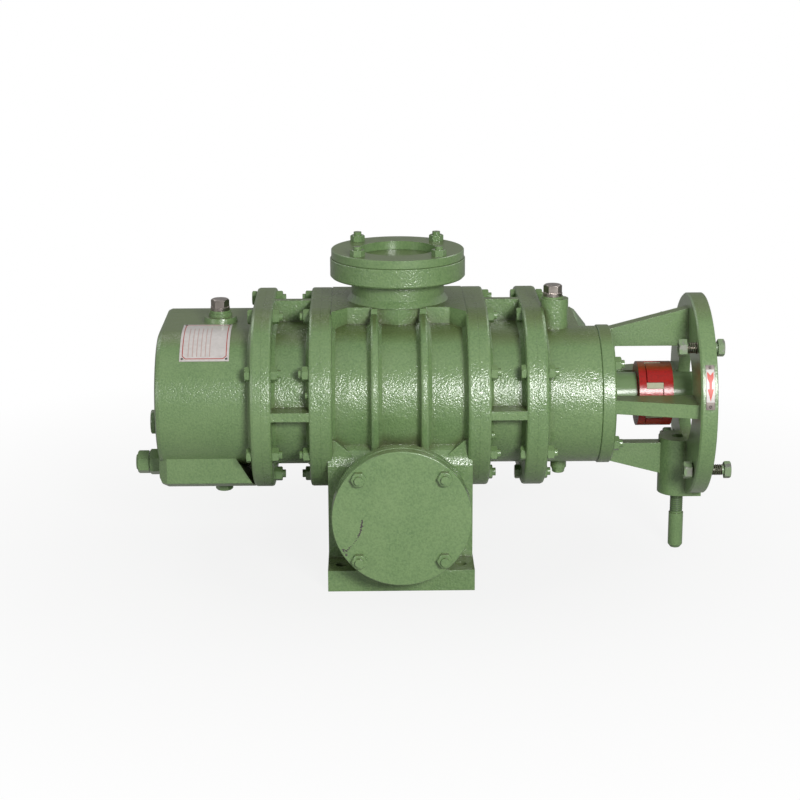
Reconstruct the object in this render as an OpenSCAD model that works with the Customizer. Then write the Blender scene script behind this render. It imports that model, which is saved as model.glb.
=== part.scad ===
// Roots vacuum pump with two-lobe rotors, timing gears and a bracket for a flange motor.
// X runs along the shafts with the motor end at +X, +Y points to the back, and Z up from the foot.
// The drive shaft is the front one. Left is the gear side and right is the drive side.

/* [Shafts] */
// Distance between the two shaft axes
shaft_gap = 110; // [107:0.5:112]
// Height of the shaft axes above the foot
shaft_h = 203.4; // [200:0.5:210]
// Radius of the shafts where gears and bearings sit
shaft_r = 17.5; // [17:0.25:18]
// Radius of the shafts inside the rotors
rotor_bore_r = 22; // [21:0.5:24]
// Radius of the drive shaft in the coupling
coupling_shaft_r = 15; // [13:0.5:15.5]

/* [Rotors] */
// Length of the pump chamber
chamber_len = 191; // [187:1:196]
// Gap between the two rotors, and between rotor tips and casing
rotor_gap = 0.3; // [0.25:0.05:0.5]
// Gap between the rotor ends and the side plates
rotor_end_gap = 0.25; // [0.2:0.05:0.4]

/* [Casing] */
// Wall of the casing drum
drum_wall = 8.8; // [7.5:0.2:10]
// Radius of the end rounds on all four body flanges
flange_r = 112; // [111:0.5:114]
// Thickness of each of the two flanges at a casing joint
joint_t = 14; // [12:0.5:15]
// Distance of the two casing ribs from the middle
rib_x = 30; // [28:0.5:34]
// Width of a casing rib
rib_w = 10; // [8:0.5:12]
// Height of the casing ribs over the drum
rib_h = 15; // [12:0.5:18]
// Half depth of the flat block under the inlet
top_block_y = 56; // [52:1:60]
// Height of that block's front wall
top_block_h = 26; // [24:1:40]
// Half width of the base box and the foot
base_x = 87.5; // [85:0.5:91]
// Half depth of the base box
base_y = 155; // [153:1:160]
// Wall of the base box
base_wall = 10; // [8:0.5:12]

/* [Foot] */
// Half depth of the foot
foot_y = 204.5; // [198:0.5:208]
// Thickness of the foot
foot_t = 26; // [22:0.5:30]
// Half spacing of the foot holes along X
foot_hole_x = 72; // [68:0.5:76]
// Half spacing of the foot holes along Y
foot_hole_y = 182; // [178:0.5:188]
// Radius of the foot holes
foot_hole_r = 7; // [5.5:0.5:9]

/* [Ports] */
// Radius of the outlet flanges
port_flange_r = 82; // [81:0.5:86]
// Radius of the casing's inlet flange
inlet_flange_r = 84.5; // [83:0.5:86]
// Radius of the inlet ring flange
inlet_ring_r = 83; // [81.5:0.5:84]
// Bore radius of the inlet and outlet
port_bore_r = 40; // [36:0.5:42]
// Distance of the port bolts from the flanges' edge
port_bolt_edge = 11.2; // [10:0.1:12.5]
// Bore radius of the outlet gaskets
gasket_bore_r = 43; // [41:0.5:45]
// Bore radius of the ring flanges
ring_bore_r = 48.5; // [46:0.5:50]
// Outer radius of the port necks
neck_r = 58; // [56:0.5:59]
// Height of the inlet ring's top face
inlet_top_z = 378.6; // [376:0.2:384]
// Thickness of the inlet ring flange
inlet_ring_t = 10.8; // [9:0.2:12]
// Thickness of the casing's inlet flange
inlet_flange_t = 24; // [20:0.5:28]
// Thickness of the inlet blanking disc
blank_disc_t = 3; // [2:0.25:4]
// Radius of the inlet blanking disc
blank_disc_r = 58; // [56:0.5:60]
// Height of the outlet axis above the foot
outlet_z = 106; // [104:0.5:110]
// Half distance between the casing's front and back outlet faces
outlet_y = 234; // [232:0.5:240]
// Thickness of the casing's outlet flanges
outlet_flange_t = 15; // [13:0.5:18]
// Thickness of the outlet gaskets
gasket_t = 1.5; // [1:0.25:2]
// Thickness of the outlet blind flange and of the rear ring flange
blind_t = 15; // [12:0.5:18]

/* [Cast edges] */
// Rounding of the outer edges of cast flanges and ribs
cast_edge = 3; // [1.5:0.5:4]
// Fillet where a wall meets a flange or a rib
fillet = 4; // [2:0.5:6]
// Rounding of the gear cover's end
cover_edge = 6; // [3:0.5:8]
// Bevel of machined edges
edge = 0.8; // [0.5:0.1:1.5]

/* [Side plates] */
// Length of the gear side plate
gear_plate_len = 71; // [69:0.5:74]
// Length of the drive side plate
drive_plate_len = 69.5; // [68:0.5:73]
// Radius of the plate necks
plate_neck_r = 84; // [82:0.5:86]
// Wall of the plate necks
plate_wall = 8; // [6.5:0.5:9]
// Thickness of the outer flange on the gear side
gear_flange_t = 12; // [10:0.5:14]
// Thickness of the outer flange on the drive side
drive_flange_t = 13.5; // [11:0.5:15]
// Thickness of the ribs across the necks
neck_rib_t = 11; // [8:0.5:12]
// Height of the front and back ribs over the shaft plane
neck_rib_rise = 2.5; // [0:0.5:6]
// How far the neck ribs stay inside the flange outline
neck_rib_inset = 1.5; // [1:0.5:5]
// How far the rib under the necks stays inside it
low_rib_inset = 13; // [10:0.5:16]

/* [Covers] */
// Outer radius of the gear cover
gear_cover_r = 86; // [84.5:0.5:88]
// Length of the gear cover over its flange
gear_cover_len = 129.5; // [126:0.5:134]
// Wall of both covers
cover_wall = 8; // [6.5:0.5:9]
// Thickness of the gear cover flange
gear_cover_flange_t = 13.5; // [10:0.5:14]
// Half depth of the oil sump
sump_y = 113; // [110:0.5:115]
// Rounding of the sump's end
sump_edge = 10; // [6:0.5:10]
// Outer radius of the drive cover
drive_cover_r = 84.5; // [83.5:0.5:86]
// Length of the drive cover over its flange
drive_cover_len = 80.6; // [78:0.5:84]
// Thickness of the drive cover flange
drive_cover_flange_t = 13.5; // [12:0.5:15]
// Length from the drive cover's flange face to the sloping back lobe
lobe_x = 59; // [56:0.5:61]
// Size of the slope at the end of the back lobe
lobe_slope = 19; // [16:0.5:20]

/* [Bracket] */
// Thickness of the bracket ring
ring_t = 16.5; // [15:0.5:18]
// Outer radius of the bracket ring
ring_r = 86; // [85:0.25:87.5]
// Inner radius of the bracket ring
ring_hole_r = 58; // [55:0.5:60]
// Distance from the bracket's seam to the motor face
bracket_len = 132.2; // [130:0.2:136]
// Radius of the motor flange
motor_flange_r = 125; // [122:0.5:130]
// Thickness of the motor flange
motor_flange_t = 20.3; // [18:0.5:24]
// Radius of the recess for the motor's spigot
motor_spigot_r = 90; // [88:0.5:92]
// Depth of that recess
spigot_depth = 6; // [4.5:0.5:7]
// Radius of the opening through the motor flange
motor_opening_r = 61; // [58:0.5:62]
// Bolt circle radius of the motor flange
motor_bolt_r = 107.5; // [106:0.5:109]
// Radius of the motor bolt holes
motor_hole_r = 7.5; // [7:0.25:8]
// Thickness of the bracket arms
arm_t = 17; // [14:0.5:20]
// Distance of the arms' inner edges from the drive shaft axis
arm_in_r = 62.5; // [60.5:0.5:66]
// Distance of the arms' outer edges from that axis, at the motor flange
arm_out_r = 110.5; // [108:0.5:115]
// Radius of the boss for the support leg
boss_r = 25; // [23:0.5:26]
// Distance of the boss's axis from the motor face
boss_in = 26.5; // [26:0.5:28]
// Height of the boss's lower end above the floor
boss_low_z = 75.5; // [72:0.5:77]
// Length of the boss
boss_len = 72; // [66:0.5:74]

/* [Coupling] */
// Radius of the coupling jaws
jaw_r = 40; // [38:0.5:43]
// Radius of the coupling barrels
barrel_r = 26.5; // [25:0.5:29]
// Length of the pump side barrel
pump_barrel_len = 30; // [26:0.5:33]
// Thickness of the plate that carries the jaws on the pump side
jaw_plate_t = 9; // [8:0.5:11]
// Length of the jaws
jaw_len = 20; // [18:0.5:22]
// Length of the motor side hub behind its jaws
motor_hub_len = 46; // [40:0.5:46.5]
// Thickness of the plate that carries the jaws on that side
motor_plate_t = 12; // [10:0.5:13]
// Width of a spider leg
spider_leg_w = 7.5; // [6:0.5:9]
// Bore radius of the motor side hub
motor_shaft_r = 14; // [12:0.5:16]

/* [Support leg] */
// Radius of the leg's smooth end
leg_r = 9.2; // [8.8:0.2:10.5]
// Radius of the leg's threaded part
leg_thread_r = 7.8; // [7:0.1:8.2]
// Length of the leg's smooth end
leg_smooth_len = 46; // [40:0.5:50]
// Height of the leg's lower end above the floor
leg_low_z = 1; // [0.6:0.1:3]

/* [Gears and bearings] */
// Teeth on each timing gear
gear_teeth = 44; // [40:4:48]
// Width of the timing gears
gear_w = 40; // [36:1:44]
// Backlash of the timing gears at the pitch circle
backlash = 0.2; // [0.15:0.05:0.3]
// Outer radius of the bearings
bearing_r = 40; // [38.5:0.5:41]
// Width of the bearings
bearing_w = 21; // [19:0.5:23]
// Radius of the bearing balls
ball_r = 6.9; // [6.5:0.1:7.1]
// Balls in a bearing
ball_count = 8; // [6:1:9]
// Distance from the side plates' inner face to the bearings
bearing_in = 34.5; // [32.5:0.5:36]
// Radius of the oil slinger
slinger_r = 70; // [66:0.5:72]

/* [Fasteners] */
// Distance of the body bolts from the flanges' edge
body_bolt_edge = 11; // [9.5:0.25:12]
// Distance of the bracket's studs from its seam ring's edge
bracket_bolt_edge = 15; // [13:0.5:17]
// Radius of body bolts and port studs
bolt_r = 5; // [4.5:0.25:5.5]
// Width across flats of their heads and nuts
bolt_af = 16; // [15:0.5:17]
// Radius of the motor bolts
motor_bolt_rad = 6; // [5.5:0.25:6.5]
// Width across flats of the motor bolts
motor_bolt_af = 19; // [18:0.5:21]
// Width across flats of the filler plugs
plug_af = 20; // [18:0.5:22]
// Radius of the dowel pins
dowel_r = 4; // [3.5:0.25:4.5]
// Clearance of bolts and studs in their holes
hole_gap = 0.5; // [0.4:0.1:0.8]

/* [Sight glass and drain] */
// Height of the sight glass below the shaft axes
sight_drop = 32; // [30:0.5:36]
// Outer radius of the sight glass ring
sight_r = 15; // [14:0.5:17]
// Height of the drain fitting above the sump's lower face
drain_rise = 28; // [26:0.5:30]
// Width across flats of the drain fitting
drain_af = 29; // [26:0.5:31]

/* [Hidden] */
$fn = 64;

paint = "#6f9a62";
steel = "#b9bcc0";
iron = "#8b8f92";
red = "#b4231e";

half_gap = shaft_gap / 2;
port_bolt_r = port_flange_r - port_bolt_edge;
body_bolt_r = flange_r - body_bolt_edge;
bracket_bolt_r = ring_r - bracket_bolt_edge;
sump_h = flange_r;
pitch_r = half_gap;
tip_r = 1.5 * pitch_r;
bore_r = tip_r + rotor_gap;
drum_r = bore_r + drum_wall;
end_x = chamber_len / 2;
gear_seam = end_x + gear_plate_len;
drive_seam = end_x + drive_plate_len;
gear_face = gear_seam + gear_cover_flange_t;
drive_face = drive_seam + drive_cover_flange_t;
gear_end = gear_seam + gear_cover_len;
lobe_end = drive_seam + lobe_x;
bracket_x = drive_seam + drive_cover_len;
motor_face = bracket_x + bracket_len;
motor_back = motor_face - motor_flange_t;
inlet_seam = inlet_top_z - inlet_ring_t;
inlet_under = inlet_seam - inlet_flange_t;
top_z = shaft_h + flange_r;
cover_in = gear_cover_r - cover_wall;
wall_in = plate_neck_r - plate_wall;
sump_low = shaft_h - sump_h;
drain_drop = sump_h - drain_rise;
seal_r = 30;
seal_shaft_r = 20;
bearing_x = end_x + bearing_in;
bearing_mid_r = (shaft_r + bearing_r) / 2;
groove_r = ball_r + 0.15;
ring_edge = 4.3;
housing_r = bearing_r + 8;
gear_x = bearing_x + bearing_w + 24;
gear_module = shaft_gap / gear_teeth;
nut_h = 8;
head_h = 6;
stud_tip = 4;
side_arm_rise = 5;
boss_x = motor_face - boss_in;
coupling_x = bracket_x + 20;
jaw_x = coupling_x + pump_barrel_len + jaw_plate_t;
motor_hub_x = jaw_x + jaw_len + 1;
spider_turn = 28;
key_w = 10;
key_h = 8;
fit = 0.02;
column = [drive_face + 12, -49, 14.5];
filler = [-gear_face - 42.5, -12];
filler_low_h = 7;
sump_drain_x = -gear_face - 40;
sump_drain_r = 7;
relief_x = 21.5;
relief_top = 62;
relief_y = 80;
drive_drain_r = 5;
drive_drain_x = drive_face + nut_h + stud_tip + 2 * drive_drain_r;
drum_low = shaft_h - drive_cover_r;
drive_drain_z = drum_low - 10;
flange_angles = [-90, -30, 30, 90];
port_angles = [45, 135, 225, 315];

module along_x(x0, x1) {
    translate([x0, 0, shaft_h]) rotate([90, 0, 90]) linear_extrude(x1 - x0) children();
}
module track(r) {
    for (s = [-1, 1]) translate([s * half_gap, 0]) circle(r);
    square([2 * half_gap, 2 * r], center = true);
}
module rod(x0, x1, y, z, r, r_end = undef) {
    translate([x0, y, z]) rotate([0, 90, 0]) cylinder(r1 = r, r2 = is_undef(r_end) ? r : r_end, h = x1 - x0);
}
module shaft_rod(s, x0, x1, r) { rod(x0, x1, s * half_gap, shaft_h, r); }
module rod_y(y0, y1, x, z, r, r_end = undef) {
    translate([x, y0, z]) rotate([-90, 0, 0]) cylinder(r1 = r, r2 = is_undef(r_end) ? r : r_end, h = y1 - y0);
}
module rod_z(z0, z1, x, y, r, r_end = undef) {
    translate([x, y, z0]) cylinder(r1 = r, r2 = is_undef(r_end) ? r : r_end, h = z1 - z0);
}
module hexagon(af, h) {
    corner = af / sqrt(3);
    edge = 0.075 * af;
    intersection() {
        cylinder(r = corner, h = h, $fn = 6);
        union() {
            translate([0, 0, h - edge]) cylinder(r1 = corner + 0.2, r2 = af / 2 - 0.2, h = edge);
            translate([0, 0, -1]) cylinder(r = corner + 0.2, h = h - edge + 1);
        }
    }
}
module hex_x(x0, x1, y, z, af) { translate([x0, y, z]) rotate([0, 90, 0]) hexagon(af, x1 - x0); }
module hex_left(x0, x1, y, z, af) { translate([x1, y, z]) rotate([0, -90, 0]) hexagon(af, x1 - x0); }
module hex_y(y0, y1, x, z, af) { translate([x, y0, z]) rotate([-90, 0, 0]) hexagon(af, y1 - y0); }
module hex_z(z0, z1, x, y, af) { translate([x, y, z0]) hexagon(af, z1 - z0); }

// Slabs of the body's outline: track_cone is a bevelled ring, and soft_slab's edges have two bevels each
module track_cone(x0, x1, r0, r1) {
    for (s = [-1, 1]) rod(x0, x1, s * half_gap, shaft_h, r0, r1);
    translate([0, half_gap, shaft_h]) rotate([90, 0, 0]) linear_extrude(2 * half_gap)
        polygon([[x0, -r0], [x1, -r1], [x1, r1], [x0, r0]]);
}
function soft_edge(x0, x1, r, e0, e1) = concat(
    e0 > 0 ? [[x0, r - e0], [x0 + 0.3 * e0, r - 0.3 * e0]] : [],
    [[x0 + e0, r], [x1 - e1, r]],
    e1 > 0 ? [[x1 - 0.3 * e1, r - 0.3 * e1], [x1, r - e1]] : []);
module soft_slab(x0, x1, r, e0, e1) {
    top = soft_edge(x0, x1, r, e0, e1);
    last = len(top) - 1;
    for (s = [-1, 1]) translate([0, s * half_gap, shaft_h]) rotate([0, 90, 0]) rotate_extrude()
        polygon(concat([[0, x0]], [for (p = top) [p[1], p[0]]], [[0, x1]]));
    translate([0, half_gap, shaft_h]) rotate([90, 0, 0]) linear_extrude(2 * half_gap)
        polygon(concat(top, [for (k = [0:last]) [top[last - k][0], -top[last - k][1]]]));
}
module soft_disc(h, r, e0, e1) {
    low = e0 > 0 ? [[r - e0, 0]] : [];
    high = e1 > 0 ? [[r - e1, h]] : [];
    rotate_extrude() polygon(concat([[0, 0]], low, [[r, e0], [r, h - e1]], high, [[0, h]]));
}
module soft_rod(x0, x1, y, z, r, e0, e1) {
    translate([x0, y, z]) rotate([0, 90, 0]) soft_disc(x1 - x0, r, e0, e1);
}
module soft_rod_y(y0, y1, x, z, r, e0, e1) {
    translate([x, y0, z]) rotate([-90, 0, 0]) soft_disc(y1 - y0, r, e0, e1);
}
module soft_rod_z(z0, z1, x, y, r, e0, e1) { translate([x, y, z0]) soft_disc(z1 - z0, r, e0, e1); }
module at_bolt(s, t) {
    translate([0, s * (half_gap + body_bolt_r * cos(t)), shaft_h + body_bolt_r * sin(t)]) children();
}
module at_track(angles = flange_angles) { for (s = [-1, 1], t = angles) at_bolt(s, t) children(); }
module at_drive_cover_nuts() {
    at_track([-90, -30, 30]) children();
    at_bolt(1, 90) children();
}
module at_port(r = port_bolt_r) { for (t = port_angles) translate([r * cos(t), r * sin(t), 0]) children(); }
module at_outlet() {
    for (t = port_angles)
        translate([port_bolt_r * cos(t), 0, outlet_z + port_bolt_r * sin(t)]) children();
}
module at_drive(r) {
    for (t = port_angles) translate([0, -half_gap + r * cos(t), shaft_h + r * sin(t)]) children();
}

// Casing: drum with flanges and ribs, inlet block and neck, base box, outlet necks and foot in one casting
top_back_y = 69;
module top_block() {
    edge = end_x - joint_t + 1;
    front = [[-edge, -80], [-63, -top_block_y], [-24, -top_block_y], [0, -top_block_y - 8],
             [24, -top_block_y], [63, -top_block_y], [edge, -80]];
    back = [[edge, top_back_y], [-edge, top_back_y]];
    translate([0, 0, top_z - top_block_h - 20]) linear_extrude(top_block_h + 20) polygon(concat(front, back));
}
base_high = -48;
module base_outline(y, high) {
    polygon([[-y, foot_t - shaft_h - 1], [y, foot_t - shaft_h - 1], [y, high - 14], [y - 4, high - 5],
             [y - 10, high + 3], [y - 20, high + 9], [-y + 20, high + 9], [-y + 10, high + 3],
             [-y + 4, high - 5], [-y, high - 14]]);
}
module bay_gussets() {
    root = end_x - joint_t + 1;
    for (side = [0, 1], back = [0, 1]) mirror([side, 0, 0]) mirror([0, back, 0])
        translate([0, 60 - base_y, shaft_h]) rotate([90, 0, 0]) linear_extrude(55)
            polygon([[-root, base_high + 18], [-root + 6, base_high + 15], [-root + 24, base_high - 1],
                     [-root + 24, base_high - 20], [-root, base_high - 20]]);
}
module inlet_neck() {
    rod_z(top_z - 10, inlet_under + 1, 0, 0, neck_r);
    rod_z(top_z - 1, top_z + 8, 0, 0, neck_r + 6, neck_r);
    soft_rod_z(inlet_under, inlet_seam, 0, 0, inlet_flange_r, 2, edge);
    rod_z(inlet_under - 5, inlet_under + 1, 0, 0, neck_r, neck_r + 6);
}
module outlet_neck(s) {
    y0 = outlet_y - outlet_flange_t;
    mirror([0, s > 0 ? 0 : 1, 0]) {
        rod_y(base_y - 12, y0 + 1, 0, outlet_z, neck_r);
        rod_y(base_y - 1, base_y + 28, 0, outlet_z, neck_r + 4, neck_r);
        soft_rod_y(y0, outlet_y, 0, outlet_z, port_flange_r, 2, edge);
        rod_y(y0 - 5, y0 + 1, 0, outlet_z, neck_r, neck_r + 6);
    }
}
module casing_outside() {
    along_x(-end_x, end_x) track(drum_r);
    soft_slab(-end_x, joint_t - end_x, flange_r, 0, cast_edge);
    soft_slab(end_x - joint_t, end_x, flange_r, cast_edge, 0);
    track_cone(joint_t - end_x - 1, joint_t - end_x + fillet, drum_r + fillet + 1, drum_r);
    track_cone(end_x - joint_t - fillet, end_x - joint_t + 1, drum_r, drum_r + fillet + 1);
    for (s = [-1, 1]) {
        soft_slab(s * rib_x - rib_w / 2, s * rib_x + rib_w / 2, drum_r + rib_h, cast_edge, cast_edge);
        along_x(s * rib_x - rib_w / 2 + 1, s * rib_x + rib_w / 2 - 1)
            polygon([[-top_block_y - 14, drum_r], [-top_block_y - 12, flange_r - 8],
                     [-top_block_y - 6, flange_r - 0.5], [-top_block_y + 6, flange_r - 0.5],
                     [-top_block_y + 6, drum_r]]);
        track_cone(s * rib_x - rib_w / 2 - fillet, s * rib_x - rib_w / 2 + 1, drum_r, drum_r + fillet + 1);
        track_cone(s * rib_x + rib_w / 2 - 1, s * rib_x + rib_w / 2 + fillet, drum_r + fillet + 1, drum_r);
    }
    top_block();
    inlet_neck();
    along_x(-base_x, base_x) base_outline(base_y, base_high);
    bay_gussets();
    for (s = [-1, 1]) outlet_neck(s);
    translate([-base_x - 0.5, -foot_y, 0]) cube([2 * base_x + 1, 2 * foot_y, foot_t]);
}
module casing() {
    color(paint) difference() {
        casing_outside();
        difference() {
            along_x(base_wall - base_x, base_x - base_wall)
                base_outline(base_y - base_wall, base_high - base_wall);
            along_x(-end_x, end_x) track(drum_r);
            translate([-base_x, -base_y, 0]) cube([2 * base_x, 2 * base_y, foot_t + base_wall]);
        }
        for (s = [-1, 1]) shaft_rod(s, -end_x - 1, end_x + 1, bore_r);
        translate([-62, -42, shaft_h - drum_r - 2]) cube([124, 84, 50]);
        rod_z(shaft_h + 30, inlet_seam + 1, 0, 0, port_bore_r);
        rod_z(inlet_seam - blank_disc_t, inlet_seam + 1, 0, 0, blank_disc_r + 0.2);
        for (s = [-1, 1]) mirror([0, s > 0 ? 0 : 1, 0])
            rod_y(base_y - base_wall - 8, outlet_y + 1, 0, outlet_z, port_bore_r);
        for (x = [-1, 1], y = [-1, 1]) rod_z(-1, foot_t + 1, x * foot_hole_x, y * foot_hole_y, foot_hole_r);
        at_port() rod_z(inlet_seam - 18, inlet_seam + 1, 0, 0, bolt_r + fit);
        for (s = [-1, 1]) at_outlet() mirror([0, s > 0 ? 0 : 1, 0])
            rod_y(outlet_y - outlet_flange_t - 1, outlet_y + 1, 0, 0, bolt_r + fit);
        at_track() for (s = [-1, 1]) rod(s * end_x - 11, s * end_x + 11, 0, 0, bolt_r + fit);
        for (s = [-1, 1]) dowel_at(s) rod(s * end_x - 9, s * end_x + 9, 0, 0, dowel_r + fit);
    }
}

// Side plates: end walls of the chamber that carry the seals and the bearings of both shafts
module side_plate(len, out_t, side) {
    difference() {
        union() {
            soft_slab(0, joint_t, flange_r, 0, cast_edge);
            along_x(joint_t - 1, len - out_t + 1) track(plate_neck_r);
            soft_slab(len - out_t, len, flange_r, cast_edge, 0);
            track_cone(joint_t - 1, joint_t + fillet, plate_neck_r + fillet + 1, plate_neck_r);
            track_cone(len - out_t - fillet, len - out_t + 1, plate_neck_r, plate_neck_r + fillet + 1);
            rib_h_all = flange_r - neck_rib_inset - wall_in - plate_wall / 2;
            rib_mid = flange_r - neck_rib_inset - rib_h_all / 2;
            along_x(joint_t - 1, len - out_t + 1) translate([-neck_rib_t / 2, low_rib_inset - flange_r])
                square([neck_rib_t, flange_r - low_rib_inset - wall_in]);
            along_x(joint_t - 1, len - out_t + 1) translate([0, rib_mid])
                square([neck_rib_t, rib_h_all], center = true);
            for (s = [-1, 1]) {
                along_x(joint_t - 1, len - out_t + 1) translate([s * (half_gap + rib_mid), neck_rib_rise])
                    square([rib_h_all, neck_rib_t], center = true);
            }
        }
        difference() {
            along_x(joint_t, len + 1) track(wall_in);
            for (s = [-1, 1]) shaft_rod(s, 0, bearing_in + bearing_w + 3, housing_r);
        }
        for (s = [-1, 1]) {
            shaft_rod(s, -1, len + 1, seal_r - 4);
            shaft_rod(s, 4, len + 1, seal_r);
            shaft_rod(s, bearing_in, len + 1, bearing_r);
        }
        at_track() rod(-1, joint_t + 1, 0, 0, bolt_r + hole_gap);
        at_track() rod(len - out_t - 1, len + 1, 0, 0, bolt_r + hole_gap);
        dowel_at(side) rod(-1, joint_t + 1, 0, 0, dowel_r + fit);
    }
}
module gear_side_plate() {
    color(paint) mirror([1, 0, 0]) translate([end_x, 0, 0]) side_plate(gear_plate_len, gear_flange_t, -1);
}
module drive_side_plate() {
    color(paint) translate([end_x, 0, 0]) side_plate(drive_plate_len, drive_flange_t, 1);
}

// Gear cover: shell over the timing gears, with the oil sump below and bosses for filler, drain and glass
module sump_relief(inset) {
    for (back = [0, 1]) mirror([0, back, 0])
        translate([-gear_face - 1.2 * inset, inset - relief_y, shaft_h]) rotate([90, 0, 0])
            linear_extrude(sump_y) polygon([[-relief_x, 12 - relief_top], [-relief_x, -relief_top],
                                            [2 * relief_x, -relief_top - 5 * relief_x],
                                            [2 * relief_x, 12 - relief_top]]);
}
module sump_body(x0, x1, inset, end_edge) {
    y = sump_y - inset;
    drum_drop = sqrt(pow(gear_cover_r - inset, 2) - pow(y - half_gap, 2));
    difference() {
        intersection() {
            soft_slab(x0, x1, sump_h - inset - 0.5, end_edge, 0);
            translate([0, 0, sump_low]) linear_extrude(sump_h - drum_drop + 3)
                polygon([[x0 + end_edge, -y], [x1, -y], [x1, y], [x0 + end_edge, y],
                         [x0, y - end_edge], [x0, end_edge - y]]);
        }
        sump_relief(inset);
    }
}
module gear_cover() {
    color(paint) difference() {
        union() {
            soft_slab(-gear_face, -gear_seam, flange_r, cast_edge + 1, 0);
            soft_slab(-gear_end, -gear_face + 1, gear_cover_r, cover_edge, 0);
            track_cone(-gear_face - fillet, -gear_face + 1, gear_cover_r, gear_cover_r + fillet + 1);
            sump_body(-gear_end, -gear_face + 1, 0, sump_edge);
            rod_z(shaft_h + gear_cover_r - 1, filler_top() - 12 + filler_low_h, filler[0], filler[1], 21.5, 20);
            rod_z(shaft_h + gear_cover_r, filler_top(), filler[0], filler[1], plug_af / 2 + 4.5);
            rod(-gear_end - 3, -gear_end + 1, -half_gap, shaft_h - sight_drop, sight_r + 3);
            rod(-gear_end - 3, -gear_end + 1, -half_gap, shaft_h - drain_drop, drain_af / 2 + 2);
        }
        along_x(-gear_end + cover_wall, -gear_seam + 1) track(cover_in);
        sump_body(-gear_end + cover_wall, -gear_face, cover_wall, 0);
        at_track([-30, 30, 90]) rod(-gear_face - 1, -gear_seam + 1, 0, 0, bolt_r + hole_gap);
        at_track([-90]) rod(-gear_face + 1, -gear_seam + 1, 0, 0, bolt_r + fit);
        rod_z(shaft_h + cover_in - 2, filler_top() + 1, filler[0], filler[1], plug_r());
        rod(-gear_end - 4, -gear_end + cover_wall + 1, -half_gap, shaft_h - sight_drop, sight_r - 4);
        rod(-gear_end - 4, -gear_end - 1, -half_gap, shaft_h - sight_drop, sight_r - 1);
        rod(-gear_end - 4, -gear_end + cover_wall + 1, -half_gap, shaft_h - drain_drop, 8);
        rod_z(sump_low - 1, sump_low + cover_wall + 2, sump_drain_x, -half_gap, sump_drain_r);
    }
}
function filler_top() = shaft_h + gear_cover_r + 12;
function column_top() = shaft_h + flange_r + 9;
function plug_r() = plug_af / 2 - 2;

// Drive cover: drum round the drive shaft with its lip seal, a sloping back lobe and the filler column
module drive_cover() {
    color(paint) difference() {
        union() {
            soft_slab(drive_seam, drive_face, flange_r, 0, cast_edge + 1);
            along_x(drive_face - 1, lobe_end) track(drive_cover_r);
            track_cone(drive_face - 1, drive_face + fillet, drive_cover_r + fillet + 1, drive_cover_r);
            soft_rod(drive_face, bracket_x, -half_gap, shaft_h, drive_cover_r, 0.1, edge);
            rod(lobe_end - 0.5, lobe_end + 5, half_gap, shaft_h, drive_cover_r, drive_cover_r - 3);
            rod(lobe_end + 5, lobe_end + lobe_slope, half_gap, shaft_h,
                drive_cover_r - 3, drive_cover_r - lobe_slope - 2);
            rod_z(shaft_h + 60, column_top(), column[0], column[1], column[2]);
            rod_z(shaft_h + 60, column_top(), column[0] + 5, column[1], column[2]);
            rod_z(drive_drain_z, drum_low + cover_wall, drive_drain_x, -half_gap, 2 * drive_drain_r);
        }
        along_x(drive_seam - 1, lobe_end - cover_wall) track(drive_cover_r - cover_wall);
        shaft_rod(-1, drive_seam, bracket_x - 13, drive_cover_r - cover_wall);
        shaft_rod(-1, bracket_x - 15, bracket_x + 1, seal_shaft_r + 2);
        shaft_rod(-1, bracket_x - 10, bracket_x + 1, seal_r - 2);
        at_drive_cover_nuts() rod(drive_seam - 1, drive_face + 1, 0, 0, bolt_r + hole_gap);
        at_bolt(-1, 90) rod(drive_seam - 1, drive_face - 1, 0, 0, bolt_r + fit);
        at_drive(bracket_bolt_r) rod(bracket_x - 10, bracket_x + 1, 0, 0, bolt_r + fit);
        rod_z(shaft_h + drive_cover_r - cover_wall - 6, column_top() + 1, column[0], column[1], plug_r());
        rod_z(drive_drain_z - 1, drum_low + 2 * cover_wall, drive_drain_x, -half_gap, drive_drain_r);
    }
}

// Coupling bracket: seam ring, four arms, motor flange and the boss for the support leg
module arm() {
    rotate([90, 0, 0]) translate([0, 0, -arm_t / 2]) linear_extrude(arm_t)
        polygon([[bracket_x + 5, arm_in_r], [motor_back + 2, arm_in_r], [motor_back + 2, arm_out_r],
                 [bracket_x + ring_t, ring_r - 1], [bracket_x + 5, ring_r - 3]]);
}
module coupling_bracket() {
    color(paint) difference() {
        union() {
            soft_rod(bracket_x, bracket_x + ring_t, -half_gap, shaft_h, ring_r, edge, 2);
            soft_rod(motor_back, motor_face, -half_gap, shaft_h, motor_flange_r, 2, edge);
            translate([0, -half_gap, shaft_h]) for (t = [0, 180]) rotate([t, 0, 0]) arm();
            translate([0, -half_gap, shaft_h + side_arm_rise]) for (t = [90, 270]) rotate([t, 0, 0]) arm();
            rod_z(boss_low_z, boss_low_z + boss_len, boss_x, -half_gap, boss_r);
            translate([boss_x, -half_gap - boss_r, boss_low_z]) cube([boss_in, 2 * boss_r, boss_len - 12]);
        }
        shaft_rod(-1, bracket_x - 1, bracket_x + ring_t + 1, ring_hole_r);
        shaft_rod(-1, motor_back, motor_face + 1, motor_opening_r);
        shaft_rod(-1, motor_face - spigot_depth, motor_face + 1, motor_spigot_r);
        rod_z(boss_low_z - 1, boss_low_z + boss_len + 1, boss_x, -half_gap, leg_thread_r + 0.3);
        at_drive(bracket_bolt_r) rod(bracket_x - 1, bracket_x + ring_t + 1, 0, 0, bolt_r + hole_gap);
        at_drive(motor_bolt_r) rod(motor_back - 1, motor_face + 1, 0, 0, motor_hole_r);
    }
}

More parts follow.
